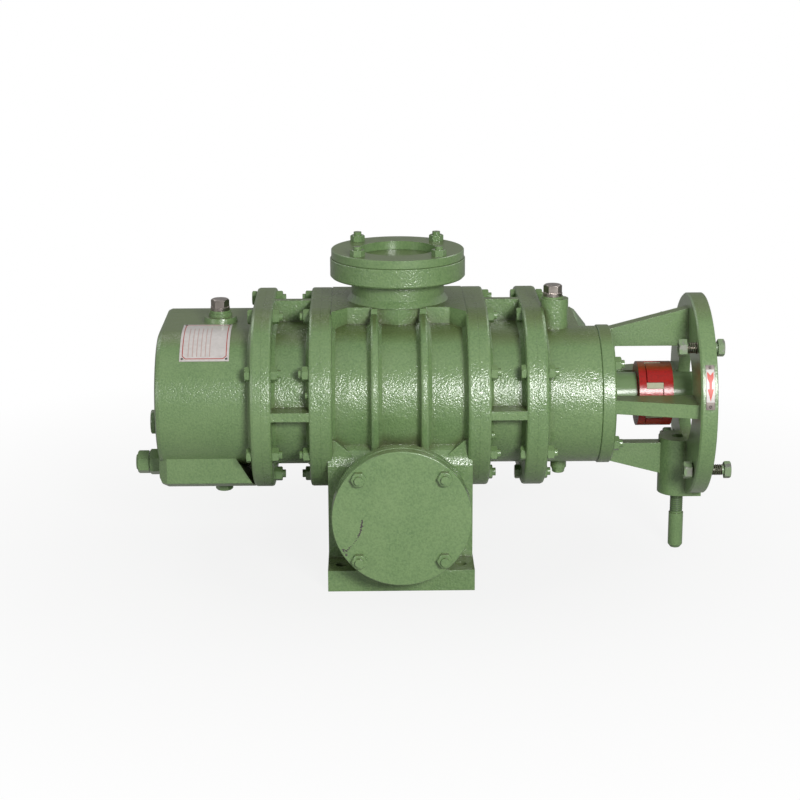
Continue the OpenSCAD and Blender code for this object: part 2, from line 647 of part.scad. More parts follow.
// Inlet: ring flange, blanking disc that closes the pump for storage, studs and nuts
module inlet_ring_flange() {
    color(paint) difference() {
        soft_rod_z(inlet_seam, inlet_top_z, 0, 0, inlet_ring_r, edge, edge);
        rod_z(inlet_seam - 1, inlet_top_z + 1, 0, 0, ring_bore_r);
        at_port() rod_z(inlet_seam - 1, inlet_top_z + 1, 0, 0, bolt_r + hole_gap);
    }
}
module inlet_blanking_disc() {
    color(paint) rod_z(inlet_seam - blank_disc_t, inlet_seam, 0, 0, blank_disc_r);
}
module inlet_studs() {
    color(paint) at_port() rod_z(inlet_seam - 17, inlet_top_z + nut_h + stud_tip, 0, 0, bolt_r);
}
module inlet_nuts() {
    color(paint) at_port() difference() {
        hex_z(inlet_top_z, inlet_top_z + nut_h, 0, 0, bolt_af);
        rod_z(inlet_top_z - 1, inlet_top_z + nut_h + 1, 0, 0, bolt_r + fit);
    }
}

// Outlet: blind flange on the front, ring flange on the back, gaskets, studs and nuts
module outlet_plate(s, y0, y1, bore, bevel = edge, inset = 0) {
    mirror([0, s > 0 ? 0 : 1, 0]) difference() {
        soft_rod_y(y0, y1, 0, outlet_z, port_flange_r - inset, bevel, bevel);
        if (bore > 0) rod_y(y0 - 1, y1 + 1, 0, outlet_z, bore);
        at_outlet() rod_y(y0 - 1, y1 + 1, 0, 0, bolt_r + hole_gap);
    }
}
module outlet_blind_flange() {
    color(paint) outlet_plate(-1, outlet_y + gasket_t, outlet_y + gasket_t + blind_t, 0);
}
module rear_outlet_flange() {
    color(paint) outlet_plate(1, outlet_y + gasket_t, outlet_y + gasket_t + blind_t, ring_bore_r);
}
module outlet_gaskets() {
    color("#3c4438") for (s = [-1, 1]) outlet_plate(s, outlet_y, outlet_y + gasket_t, gasket_bore_r, 0, 1.5);
}
module outlet_studs() {
    y1 = outlet_y + gasket_t + blind_t;
    color(paint) for (s = [-1, 1]) at_outlet() mirror([0, s > 0 ? 0 : 1, 0])
        rod_y(outlet_y - outlet_flange_t + 0.5, y1 + nut_h + stud_tip, 0, 0, bolt_r);
}
module outlet_nuts() {
    y1 = outlet_y + gasket_t + blind_t;
    color(paint) for (s = [-1, 1]) at_outlet() mirror([0, s > 0 ? 0 : 1, 0]) difference() {
        hex_y(y1, y1 + nut_h, 0, 0, bolt_af);
        rod_y(y1 - 1, y1 + nut_h + 1, 0, 0, bolt_r + fit);
    }
}

// Rotors: lobes are epicycloids and waists hypocycloids, rolled by a circle of a quarter of the pitch radius
roll_r = pitch_r / 4;
function lobe(k, t) = k % 2 == 0
    ? [(pitch_r + roll_r) * cos(t) - roll_r * cos(5 * t), (pitch_r + roll_r) * sin(t) - roll_r * sin(5 * t)]
    : [(pitch_r - roll_r) * cos(t) + roll_r * cos(3 * t), (pitch_r - roll_r) * sin(t) - roll_r * sin(3 * t)];
function inset(k, t) =
    let (p = lobe(k, t), d = lobe(k, t + 0.2) - lobe(k, t - 0.2))
    p - [d[1], -d[0]] / norm(d) * rotor_gap / 2;
steps = 20;
rotor_points = [for (k = [0:3], i = [0:steps - 1]) inset(k, 90 * k + 90 * (i + 0.5) / steps)];
module rotor(s, turn) {
    color(iron) difference() {
        along_x(-end_x + rotor_end_gap, end_x - rotor_end_gap)
            translate([s * half_gap, 0]) rotate(turn) polygon(rotor_points);
        shaft_rod(s, -end_x - 1, end_x + 1, rotor_bore_r);
    }
}
module drive_rotor() { rotor(-1, 45); }
module driven_rotor() { rotor(1, -45); }

// Shafts, keys and shaft nuts
gear_shaft_end = gear_x + gear_w + 24;
module shaft(s, right) {
    shaft_rod(s, -gear_shaft_end, -gear_x - gear_w, shaft_r - 2.5);
    shaft_rod(s, -gear_x - gear_w, -end_x - bearing_in + 0.5, shaft_r);
    shaft_rod(s, -end_x - bearing_in, end_x + bearing_in, seal_shaft_r);
    shaft_rod(s, -end_x + rotor_end_gap, end_x - rotor_end_gap, rotor_bore_r);
    shaft_rod(s, end_x + bearing_in - 0.5, right, shaft_r);
}
module gear_key_box(s) {
    translate([-gear_x - gear_w + 2, s * half_gap - key_w / 2, shaft_h + shaft_r - key_h / 2])
        cube([gear_w - 4, key_w, key_h]);
}
module coupling_key_box() {
    translate([coupling_x + 3, -half_gap - key_h / 2, shaft_h + coupling_shaft_r - 3.5]) cube([32, key_h, 7]);
}
module drive_shaft() {
    color(steel) difference() {
        union() {
            shaft(-1, coupling_x - 1);
            shaft_rod(-1, coupling_x - 2, jaw_x - 2, coupling_shaft_r);
        }
        gear_key_box(-1);
        coupling_key_box();
    }
}
module driven_shaft() {
    color(steel) difference() {
        shaft(1, bearing_x + bearing_w + 14);
        gear_key_box(1);
    }
}
module drive_gear_key() { color(steel) gear_key_box(-1); }
module driven_gear_key() { color(steel) gear_key_box(1); }
module coupling_key() { color(steel) coupling_key_box(); }
module shaft_nut(s) {
    x0 = -gear_x - gear_w - (s > 0 ? 5 : 0);
    color(steel) difference() {
        shaft_rod(s, x0 - 12, x0, 24);
        shaft_rod(s, x0 - 13, x0 + 1, shaft_r - 2.5);
        for (t = [0:90:270]) translate([x0 - 6, s * half_gap, shaft_h]) rotate([t, 0, 0])
            translate([0, 0, 24]) cube([14, 6, 5], center = true);
    }
}
module drive_shaft_nut() { shaft_nut(-1); }
module driven_shaft_nut() { shaft_nut(1); }

// Timing gears: involute teeth with a pressure angle of 20 degrees
function involute_angle(r) =
    let (b = pitch_r * cos(20), q = acos(min(1, b / r))) tan(q) * 180 / PI - q;
function half_tooth(r) =
    90 / gear_teeth - backlash / 2 / pitch_r * 180 / PI + involute_angle(pitch_r) - involute_angle(r);
gear_radii = [for (q = [-1.2, -0.6, 0, 0.5, 0.95]) pitch_r + q * gear_module];
gear_points = [for (n = [0:gear_teeth - 1], q = [0:9])
    let (up = q < 5, r = gear_radii[up ? q : 9 - q], t = 360 / gear_teeth * n + (up ? -1 : 1) * half_tooth(r))
    [r * cos(t), r * sin(t)]];
module timing_gear(s, turn) {
    color(steel) difference() {
        along_x(-gear_x - gear_w, -gear_x) translate([s * half_gap, 0]) rotate(turn) polygon(gear_points);
        shaft_rod(s, -gear_x - gear_w - 1, -gear_x + 1, shaft_r);
        for (x0 = [-gear_x - gear_w - 1, -gear_x - 8]) difference() {
            shaft_rod(s, x0, x0 + 9, pitch_r - 10);
            shaft_rod(s, x0 - 1, x0 + 10, 28);
        }
        gear_key_box(s);
    }
}
module drive_timing_gear() { timing_gear(-1, 0); }
module driven_timing_gear() { timing_gear(1, 180 / gear_teeth); }

// Ball bearings: two on each shaft
module at_bearings(s) {
    for (e = [-1, 1]) translate([e > 0 ? bearing_x : -bearing_x - bearing_w, s * half_gap, shaft_h])
        rotate([90, 0, 90]) children();
}
module bearing_ring(r0, r1) {
    rotate_extrude() difference() {
        translate([r0, 0]) square([r1 - r0, bearing_w]);
        translate([bearing_mid_r, bearing_w / 2]) circle(groove_r);
    }
}
module bearing_outer_rings() {
    color(steel) for (s = [-1, 1]) at_bearings(s) bearing_ring(bearing_mid_r + ring_edge, bearing_r);
}
module inner_rings(s) { color(steel) at_bearings(s) bearing_ring(shaft_r, bearing_mid_r - ring_edge); }
module drive_bearing_rings() { inner_rings(-1); }
module driven_bearing_rings() { inner_rings(1); }
module balls(s) {
    color(steel) at_bearings(s) for (k = [0:ball_count - 1])
        rotate(360 / ball_count * k) translate([bearing_mid_r, 0, bearing_w / 2]) sphere(ball_r);
}
module drive_bearing_balls() { balls(-1); }
module driven_bearing_balls() { balls(1); }

// Seals and oil slinger
module chamber_seals() {
    color(iron) for (s = [-1, 1], e = [-1, 1]) difference() {
        shaft_rod(s, e > 0 ? end_x + 4 : -end_x - 26, e > 0 ? end_x + 26 : -end_x - 4, seal_r);
        shaft_rod(s, -bearing_x, bearing_x, seal_shaft_r + 0.08);
    }
}
module drive_lip_seal() {
    color("#2b2b2b") difference() {
        shaft_rod(-1, bracket_x - 10, bracket_x, seal_r - 2);
        shaft_rod(-1, bracket_x - 11, bracket_x + 1, shaft_r + 0.08);
        shaft_rod(-1, bracket_x - 4, bracket_x + 1, shaft_r + 4);
    }
}
module oil_slinger() {
    color(steel) difference() {
        shaft_rod(1, -gear_x - gear_w - 5, -gear_x - gear_w, slinger_r);
        shaft_rod(1, -gear_x - gear_w - 6, -gear_x - gear_w + 1, shaft_r - 2.5);
    }
}

// Jaw coupling: two hubs with three jaws each, and a six-legged spider between the jaws
spider_hub_r = 19.5;
spider_bore_r = 13;
jaw_gap = 0.3;
first_leg = 180 - spider_turn;
module at_leg(x, k) {
    translate([x, -half_gap, shaft_h]) rotate([first_leg + 60 * k, 0, 0]) children();
}
module jaws(x0, x1, first) {
    mid = (x0 + x1) / 2;
    long = x1 - x0 + 2;
    reach = 1.3 * jaw_r;
    difference() {
        intersection() {
            shaft_rod(-1, x0, x1, jaw_r);
            union() for (k = [0:2]) at_leg(x0 - 1, first + 2 * k) rotate([90, 0, 90]) linear_extrude(long)
                polygon([[0, 0], for (t = [0:30:60]) [reach * cos(t), reach * sin(t)]]);
        }
        shaft_rod(-1, x0 - 1, x1 + 1, spider_hub_r + 0.5);
        for (k = [0:5]) at_leg(mid, k) translate([0, reach / 2, 0])
            cube([long, reach, spider_leg_w + 2 * jaw_gap], center = true);
    }
}
module coupling_pump_hub() {
    color(red) difference() {
        union() {
            shaft_rod(-1, coupling_x, jaw_x - 1, barrel_r);
            shaft_rod(-1, coupling_x + pump_barrel_len, jaw_x, jaw_r);
            jaws(jaw_x - 1, jaw_x + jaw_len, 0);
        }
        shaft_rod(-1, coupling_x - 1, jaw_x + 1, coupling_shaft_r);
        coupling_key_box();
    }
}
module coupling_motor_hub() {
    color(red) difference() {
        union() {
            shaft_rod(-1, motor_hub_x, motor_hub_x + motor_plate_t, jaw_r);
            shaft_rod(-1, motor_hub_x + 1, motor_hub_x + motor_hub_len, barrel_r);
            jaws(motor_hub_x - jaw_len, motor_hub_x + 1, 1);
        }
        shaft_rod(-1, motor_hub_x - 1, motor_hub_x + motor_hub_len + 1, motor_shaft_r);
        translate([motor_hub_x - 1, -half_gap - key_h / 2, shaft_h])
            cube([motor_hub_len + 2, key_h, motor_shaft_r + 3.3]);
    }
}
module coupling_spider() {
    leg_in = spider_hub_r - 3;
    leg_out = jaw_r - 1;
    color("#c9c3a8") translate([jaw_x + jaw_gap, -half_gap, shaft_h]) rotate([90, 0, 90])
        linear_extrude(motor_hub_x - jaw_x - 2 * jaw_gap) difference() {
            union() {
                circle(spider_hub_r);
                for (k = [0:5]) rotate(first_leg + 60 * k)
                    translate([leg_in, -spider_leg_w / 2]) square([leg_out - leg_in, spider_leg_w]);
            }
            circle(spider_bore_r);
        }
}

// Bolts, studs and nuts of the body joints
module bolt_along(x_head, x_tip) {
    hex_left(x_head - head_h, x_head, 0, 0, bolt_af);
    rod(x_head - 1, x_tip, 0, 0, bolt_r);
}
module nut_along(x0, dir) {
    x1 = x0 + dir * nut_h;
    difference() {
        if (dir > 0) hex_x(x0, x1, 0, 0, bolt_af);
        else hex_left(x1, x0, 0, 0, bolt_af);
        rod(min(x0, x1) - 1, max(x0, x1) + 1, 0, 0, bolt_r + fit);
    }
}
gear_nut_x = -gear_seam + gear_flange_t;
drive_nut_x = drive_seam - drive_flange_t;
module gear_cover_bolts() {
    color(paint) {
        at_track([-30, 30, 90]) bolt_along(-gear_face, gear_nut_x + nut_h + stud_tip);
        at_track([-90]) rod(-gear_face + 1.5, gear_nut_x + nut_h + stud_tip, 0, 0, bolt_r);
    }
}
module gear_cover_nuts() { color(paint) at_track() nut_along(gear_nut_x, 1); }
module gear_plate_studs() {
    color(paint) at_track() rod(-end_x - joint_t - nut_h - stud_tip, -end_x + 10.5, 0, 0, bolt_r);
}
module gear_plate_nuts() { color(paint) at_track() nut_along(-end_x - joint_t, -1); }
module drive_plate_studs() {
    color(paint) at_track() rod(end_x - 10.5, end_x + joint_t + nut_h + stud_tip, 0, 0, bolt_r);
}
module drive_plate_nuts() { color(paint) at_track() nut_along(end_x + joint_t, 1); }
module drive_cover_bolts() {
    color(paint) {
        at_drive_cover_nuts() bolt_along(drive_nut_x, drive_face + nut_h + stud_tip);
        at_bolt(-1, 90) bolt_along(drive_nut_x, drive_face - 1.5);
    }
}
module drive_cover_nuts() { color(paint) at_drive_cover_nuts() nut_along(drive_face, 1); }
module dowel_at(s) {
    t = s > 0 ? 14 : -15;
    for (side = [-1, 1]) at_bolt(side, side * t) children();
}
module dowel_pins() {
    color(paint) {
        dowel_at(-1) rod(-end_x - joint_t - 4, -end_x + 8.5, 0, 0, dowel_r);
        dowel_at(1) rod(end_x - 8.5, end_x + joint_t + 4, 0, 0, dowel_r);
    }
}
module bracket_studs() {
    color(paint) at_drive(bracket_bolt_r)
        rod(bracket_x - 9.5, bracket_x + ring_t + nut_h + stud_tip, 0, 0, bolt_r);
}
module bracket_nuts() { color(paint) at_drive(bracket_bolt_r) nut_along(bracket_x + ring_t, 1); }

// Motor bolts left in the bracket flange with their nuts: the upper two are all but seated, and the lower two are
// drawn out and lie low in their holes. Each entry is the head's distance from the flange and that of its nut.
motor_bolt_len = 44;
motor_nut_h = 10;
motor_head_h = 8;
motor_bolt_state = [[0, 13], [4.5, 12.5], [18, 1.5], [6, 4]];
module at_motor_bolts() {
    for (k = [0:3]) {
        state = motor_bolt_state[k];
        drop = state[0] > 5 ? motor_hole_r - motor_bolt_rad - fit : 0;
        y = -half_gap + motor_bolt_r * cos(port_angles[k]);
        z = shaft_h + motor_bolt_r * sin(port_angles[k]) - drop;
        translate([0, y, z]) {
            $head_x = motor_face + state[0];
            $nut_x = motor_back - state[1];
            children();
        }
    }
}
module motor_bolts() {
    color(steel) at_motor_bolts() {
        hex_x($head_x, $head_x + motor_head_h, 0, 0, motor_bolt_af);
        rod($head_x - motor_bolt_len, $head_x + 1, 0, 0, motor_bolt_rad);
    }
}
module motor_nuts() {
    color(steel) at_motor_bolts() difference() {
        hex_left($nut_x - motor_nut_h, $nut_x, 0, 0, motor_bolt_af);
        rod($nut_x - motor_nut_h - 1, $nut_x + 1, 0, 0, motor_bolt_rad + fit);
    }
}

// Oil fittings: filler plugs with washers, drain plug, drain fitting with cap, and the sight glass
washer_t = 3;
module plug(x, y, z) {
    rod_z(z - 10, z + washer_t + 1, x, y, plug_r() - fit);
    rod_z(z + washer_t, z + washer_t + 4, x, y, plug_af / 2 + 2);
    hex_z(z + washer_t + 3, z + washer_t + 14, x, y, plug_af);
}
module gear_filler_plug() { color(steel) plug(filler[0], filler[1], filler_top()); }
module drive_filler_plug() { color(steel) plug(column[0], column[1], column_top()); }
module filler_washer(x, y, z) {
    difference() {
        rod_z(z, z + washer_t, x, y, plug_af / 2 + 3);
        rod_z(z - 1, z + washer_t + 1, x, y, plug_r());
    }
}
module filler_washers() {
    color(steel) {
        filler_washer(filler[0], filler[1], filler_top());
        filler_washer(column[0], column[1], column_top());
    }
}
module drain_plug(x, z, r) {
    af = 2.7 * r;
    rod_z(z - 2, z + 7, x, -half_gap, r - fit);
    rod_z(z - 2.5, z, x, -half_gap, 1.7 * r);
    translate([x, -half_gap, z - 2]) mirror([0, 0, 1]) hexagon(af, r);
}
module drain_plugs() {
    color(paint) {
        drain_plug(sump_drain_x, sump_low + 0.5, sump_drain_r);
        drain_plug(drive_drain_x, drive_drain_z, drive_drain_r);
    }
}
drain_x = -gear_end - 3;
module drain_fitting() {
    color(paint) difference() {
        union() {
            hex_left(drain_x - 13, drain_x, -half_gap, shaft_h - drain_drop, drain_af);
            rod(drain_x - 22, drain_x + 9, -half_gap, shaft_h - drain_drop, 8 - fit);
        }
        rod(drain_x - 23, drain_x + 10, -half_gap, shaft_h - drain_drop, 4);
    }
}
module drain_cap() {
    color(paint) difference() {
        union() {
            hex_left(drain_x - 28, drain_x - 14, -half_gap, shaft_h - drain_drop, drain_af - 3);
            rod(drain_x - 30, drain_x - 27, -half_gap, shaft_h - drain_drop, 9, 11);
        }
        rod(drain_x - 24, drain_x - 13, -half_gap, shaft_h - drain_drop, 8);
    }
}
module sight_glass_ring() {
    color(paint) difference() {
        rod(-gear_end - 8, -gear_end - 3, -half_gap, shaft_h - sight_drop, sight_r - 1, sight_r);
        rod(-gear_end - 9, -gear_end - 2, -half_gap, shaft_h - sight_drop, sight_r - 5);
    }
}
module sight_glass() {
    color("#cfd8c2") rod(-gear_end - 3, -gear_end - 1, -half_gap, shaft_h - sight_drop, sight_r - 1.2);
}

// Support leg: jack screw in the bracket's boss, shown just clear of the floor
module support_leg() {
    z1 = leg_low_z + leg_smooth_len;
    color(paint) {
        rod_z(leg_low_z, leg_low_z + 4, boss_x, -half_gap, leg_r - 3, leg_r);
        rod_z(leg_low_z + 4, z1, boss_x, -half_gap, leg_r);
        rod_z(z1 - 1, boss_low_z + boss_len - 7, boss_x, -half_gap, leg_thread_r);
    }
}

casing();
gear_side_plate();
drive_side_plate();
gear_cover();
drive_cover();
coupling_bracket();
inlet_ring_flange();
inlet_blanking_disc();
inlet_studs();
inlet_nuts();
outlet_blind_flange();
rear_outlet_flange();
outlet_gaskets();
outlet_studs();
outlet_nuts();
drive_rotor();
driven_rotor();
drive_shaft();
driven_shaft();
drive_timing_gear();
driven_timing_gear();
drive_gear_key();
driven_gear_key();
bearing_outer_rings();
drive_bearing_rings();
driven_bearing_rings();
drive_bearing_balls();
driven_bearing_balls();
chamber_seals();
drive_lip_seal();
oil_slinger();
drive_shaft_nut();
driven_shaft_nut();
coupling_pump_hub();
coupling_motor_hub();
coupling_spider();
coupling_key();
gear_cover_bolts();
gear_cover_nuts();
gear_plate_studs();
gear_plate_nuts();
drive_plate_studs();
drive_plate_nuts();
drive_cover_bolts();
drive_cover_nuts();
dowel_pins();
bracket_studs();
bracket_nuts();
motor_bolts();
motor_nuts();
gear_filler_plug();
drive_filler_plug();
filler_washers();
drain_plugs();
drain_fitting();
drain_cap();
sight_glass_ring();
sight_glass();
support_leg();
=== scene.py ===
from math import cos, pi, radians, sin

import bmesh
import bpy
from mathutils import Matrix, Vector


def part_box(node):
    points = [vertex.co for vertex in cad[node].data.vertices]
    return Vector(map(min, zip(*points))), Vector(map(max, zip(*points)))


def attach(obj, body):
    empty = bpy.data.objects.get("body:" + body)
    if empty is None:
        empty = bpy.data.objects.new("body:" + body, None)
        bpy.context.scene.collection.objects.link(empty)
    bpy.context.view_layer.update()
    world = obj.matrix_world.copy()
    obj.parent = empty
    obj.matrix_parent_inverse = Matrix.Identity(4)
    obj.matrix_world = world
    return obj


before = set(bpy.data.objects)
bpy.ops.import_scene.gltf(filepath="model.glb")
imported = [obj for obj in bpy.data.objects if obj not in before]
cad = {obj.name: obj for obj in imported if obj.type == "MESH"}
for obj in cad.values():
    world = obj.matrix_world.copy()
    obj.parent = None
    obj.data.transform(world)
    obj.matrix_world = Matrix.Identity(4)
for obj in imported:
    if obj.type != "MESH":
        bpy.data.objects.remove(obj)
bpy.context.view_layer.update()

# Camera. A product camera on a tripod, 2.4 metres in front of the pump, a little left of its middle and
# 15 degrees above it, with a 90 mm lens.
camera_place = Vector((-0.0370, -2.4498, 0.8481))
camera_down, camera_right, camera_roll = 0.26549, 0.01606, -0.00407
film_mm, lens_mm = 36, 89.53
lens = bpy.data.cameras.new("product_camera")
lens.sensor_width = film_mm
lens.lens = lens_mm
camera = bpy.data.objects.new("product_camera", lens)
camera.matrix_world = (Matrix.Translation(camera_place)
                       @ Matrix.Rotation(-camera_right, 4, "Z")
                       @ Matrix.Rotation(pi / 2 - camera_down, 4, "X")
                       @ Matrix.Rotation(camera_roll, 4, "Z"))
bpy.context.scene.collection.objects.link(camera)
bpy.context.scene.camera = camera
bpy.context.scene.view_settings.view_transform = "Standard"


# Studio. A sheet of pale paper lies under the pump, and white walls stand all round it. A soft box stands
# high at the front right, a bank hangs overhead, and weak fills come from the left and from behind.
def linear(hex_colour):
    parts = [int(hex_colour[i:i + 2], 16) / 255 for i in (1, 3, 5)]
    return [p / 12.92 if p < 0.04045 else ((p + 0.055) / 1.055) ** 2.4 for p in parts] + [1]


def add(tree, kind, inputs=None, **settings):
    node = tree.nodes.new(kind)
    for name, value in settings.items():
        setattr(node, name, value)
    for name, value in (inputs or {}).items():
        if isinstance(value, bpy.types.NodeSocket):
            tree.links.new(value, node.inputs[name])
        else:
            node.inputs[name].default_value = value
    return node


def empty_tree(owner):
    owner.use_nodes = True
    owner.node_tree.nodes.clear()
    return owner.node_tree


def show(mesh, name):
    piece = bpy.data.objects.new(name, mesh)
    bpy.context.scene.collection.objects.link(piece)
    return piece


wall_light, white_in_gloss = 0.24, 0.14
world = bpy.data.worlds.new("white_studio")
sky = empty_tree(world)
ray = add(sky, "ShaderNodeLightPath")
direct = add(sky, "ShaderNodeMath", {0: ray.outputs["Is Camera Ray"], 1: ray.outputs["Is Transmission Ray"]},
             operation="MAXIMUM")
mirrored = add(sky, "ShaderNodeMath", {0: ray.outputs["Is Glossy Ray"], 1: white_in_gloss},
               operation="MULTIPLY")
seen = add(sky, "ShaderNodeMath", {0: direct.outputs[0], 1: mirrored.outputs[0]}, operation="MAXIMUM")
walls = add(sky, "ShaderNodeBackground", {"Color": linear("#f4f5f2"), "Strength": wall_light})
white = add(sky, "ShaderNodeBackground", {"Color": [1, 1, 1, 1], "Strength": 1.0})
both = add(sky, "ShaderNodeMixShader", {0: seen.outputs[0], 1: walls.outputs[0], 2: white.outputs[0]})
add(sky, "ShaderNodeOutputWorld", {"Surface": both.outputs[0]})
bpy.context.scene.world = world

paper_size, paper_drop = 12.0, 0.0003
shadow_radius, clear_radius, least_glow = 0.25, 0.9, 0.86
bm = bmesh.new()
bmesh.ops.create_grid(bm, x_segments=1, y_segments=1, size=paper_size)
bmesh.ops.translate(bm, vec=(0, 0, -paper_drop), verts=bm.verts)
paper_mesh = bpy.data.meshes.new("paper_floor")
bm.to_mesh(paper_mesh)
bm.free()
floor = show(paper_mesh, "paper_floor")
paper = bpy.data.materials.new("white_background_paper")
sheet = empty_tree(paper)
spot = add(sheet, "ShaderNodeTexCoord")
reach = add(sheet, "ShaderNodeVectorMath", {0: spot.outputs["Object"]}, operation="LENGTH")
fade = add(sheet, "ShaderNodeMapRange", {"Value": reach.outputs["Value"], "From Min": shadow_radius,
                                         "From Max": clear_radius, "To Min": least_glow})
paper_ray = add(sheet, "ShaderNodeLightPath")
glow_part = add(sheet, "ShaderNodeMath", {0: fade.outputs[0], 1: paper_ray.outputs["Is Camera Ray"]},
                operation="MULTIPLY")
matte = add(sheet, "ShaderNodeBsdfDiffuse", {"Color": linear("#b4b4b0")})
glow = add(sheet, "ShaderNodeEmission", {"Color": [1, 1, 1, 1], "Strength": 1.0})
lit_paper = add(sheet, "ShaderNodeMixShader", {0: glow_part.outputs[0], 1: matte.outputs[0],
                                               2: glow.outputs[0]})
add(sheet, "ShaderNodeOutputMaterial", {"Surface": lit_paper.outputs[0]})
paper_mesh.materials.append(paper)

pump_middle = Vector((0, 0, 0.2))
for lamp_name, lamp_place, lamp_size, lamp_power in (
        ("soft_box_front_right", (0.70, -2.30, 1.10), (0.6, 0.5), 50),
        ("overhead_bank", (0.1, -0.6, 2.2), (2.0, 1.4), 2),
        ("fill_left", (-2.0, -1.5, 0.9), (0.7, 1.2), 7),
        ("fill_back_left", (-1.2, 1.6, 2.3), (1.4, 0.9), 14),
        ("fill_back_right", (1.6, 1.5, 2.1), (1.4, 0.9), 11)):
    lamp = bpy.data.lights.new(lamp_name, "AREA")
    lamp.shape = "RECTANGLE"
    lamp.size, lamp.size_y = lamp_size
    lamp.energy = lamp_power
    lamp_object = bpy.data.objects.new(lamp_name, lamp)
    lamp_object.location = lamp_place
    lamp_object.rotation_euler = (pump_middle - Vector(lamp_place)).to_track_quat("-Z", "Y").to_euler()
    bpy.context.scene.collection.objects.link(lamp_object)


# Castings and pipe rings. Grey iron cast in sand and sprayed with green alkyd enamel. The paint is glossy,
# follows the casting's coarse skin and lies darker in its pores. Painted shade darkens it to brown in the
# corners and creases and to olive on the tops, which also carry less coat. The outlet's blind flange is
# scuffed through to its dark steel.
swell_mm, cloud_mm, flake_mm = 17, 60, 1.6
green = ("#537247", "#6d8a59", "#879f6e")


def chipped(tree, at, base, chips):
    flake = add(tree, "ShaderNodeTexNoise", {"Vector": at, "Scale": 1000 / flake_mm, "Detail": 3.0})
    ragged_edge = add(tree, "ShaderNodeMath", {0: flake.outputs["Fac"], 1: 4.0, 2: -1.25},
                      operation="MULTIPLY_ADD")
    nearest = 9.0
    for middle, reach_mm in chips:
        span = add(tree, "ShaderNodeVectorMath", {0: at, 1: middle}, operation="DISTANCE")
        share = add(tree, "ShaderNodeMath", {0: span.outputs["Value"], 1: reach_mm * 0.001},
                    operation="DIVIDE")
        least = add(tree, "ShaderNodeMath", {0: share.outputs[0], 1: nearest}, operation="MINIMUM")
        nearest = least.outputs[0]
    bare = add(tree, "ShaderNodeMath", {0: nearest, 1: ragged_edge.outputs[0]}, operation="LESS_THAN")
    return add(tree, "ShaderNodeMix", {0: bare.outputs[0], 6: base, 7: linear("#463c40")}, data_type="RGBA")


def oversprayed(tree, at, swell, base, first_x, last_x, colour):
    wander, wander_middle = 0.0015, 0.0007
    along = add(tree, "ShaderNodeSeparateXYZ", {0: at})
    edge = add(tree, "ShaderNodeMath", {0: swell, 1: wander, 2: along.outputs["X"]},
               operation="MULTIPLY_ADD")
    offset = add(tree, "ShaderNodeMath", {0: edge.outputs[0], 1: (first_x + last_x) / 2 + wander_middle},
                 operation="SUBTRACT")
    away = add(tree, "ShaderNodeMath", {0: offset.outputs[0]}, operation="ABSOLUTE")
    outside = add(tree, "ShaderNodeMath", {0: away.outputs[0], 1: (last_x - first_x) / 2},
                  operation="GREATER_THAN")
    return add(tree, "ShaderNodeMix", {0: outside.outputs[0], 6: base, 7: linear(colour)}, data_type="RGBA")


